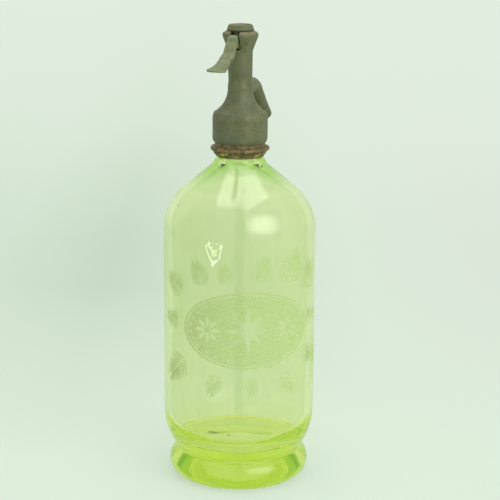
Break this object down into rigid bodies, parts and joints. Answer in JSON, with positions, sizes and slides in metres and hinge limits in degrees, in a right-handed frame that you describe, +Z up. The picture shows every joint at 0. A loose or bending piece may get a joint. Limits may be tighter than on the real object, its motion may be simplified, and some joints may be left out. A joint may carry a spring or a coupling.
{
  "type": "soda siphon",
  "caption": "Thick green glass soda siphon with a foot, split brass neck ring, cast head, thumb lever lifting a spring-closed valve, and an angled spout.",
  "frame": {"origin": "middle of the foot, on the surface that the siphon stands on", "axes": "+Z up along the bottle's axis, -Y towards the thumb lever, +Y towards the spout"},
  "size_m": [0.1, 0.1, 0.3012],
  "materials": {
    "green_glass": "clear pale yellow-green glass, thick foot",
    "tube_glass": "clear thin glass tube",
    "ring_brass": "brown aged brass, worn bright on the raised edge",
    "cast_pewter": "aged cast tin alloy, olive grey, dull sheen",
    "valve_brass": "turned brass",
    "steel": "dull steel",
    "rubber": "black rubber",
    "fibre": "pressed red fibre"
  },
  "bodies": {
    "siphon": {"bottle": "green_glass", "collar_half_right": "ring_brass", "collar_half_left": "ring_brass", "head_casting": "cast_pewter", "spout": "cast_pewter", "head_cap": "cast_pewter", "cap_washer": "fibre", "lever_pin": "steel", "return_spring": "steel", "spring_guide_bush": "valve_brass", "valve_seat": "valve_brass", "seat_gasket": "rubber", "mouth_seal": "rubber", "tube_holder": "valve_brass", "tube_sleeve": "rubber", "dip_tube": "tube_glass"},
    "lever": {"lever": "cast_pewter"},
    "piston": {"piston_rod": "valve_brass", "lift_nut": "valve_brass", "piston_seal": "rubber", "valve_washer": "rubber"}
  },
  "joints": [
    {"name": "lever_press", "type": "hinge", "parent": "siphon", "child": "lever", "pos_m": [0, -0.0075, 0.289], "axis": [1, 0, 0], "range_deg": [0, 15], "stiffness_Nm_per_rad": 0.8, "springref_deg": -5.73},
    {"name": "piston_lift", "type": "slide", "parent": "siphon", "child": "piston", "axis": [0, 0, 1], "range_m": [0, 0.00197], "deforming": ["return_spring"]}
  ],
  "couplings": [
    {"joint": "piston_lift", "follows": "lever_press", "m_per_rad": 0.0075}
  ]
}
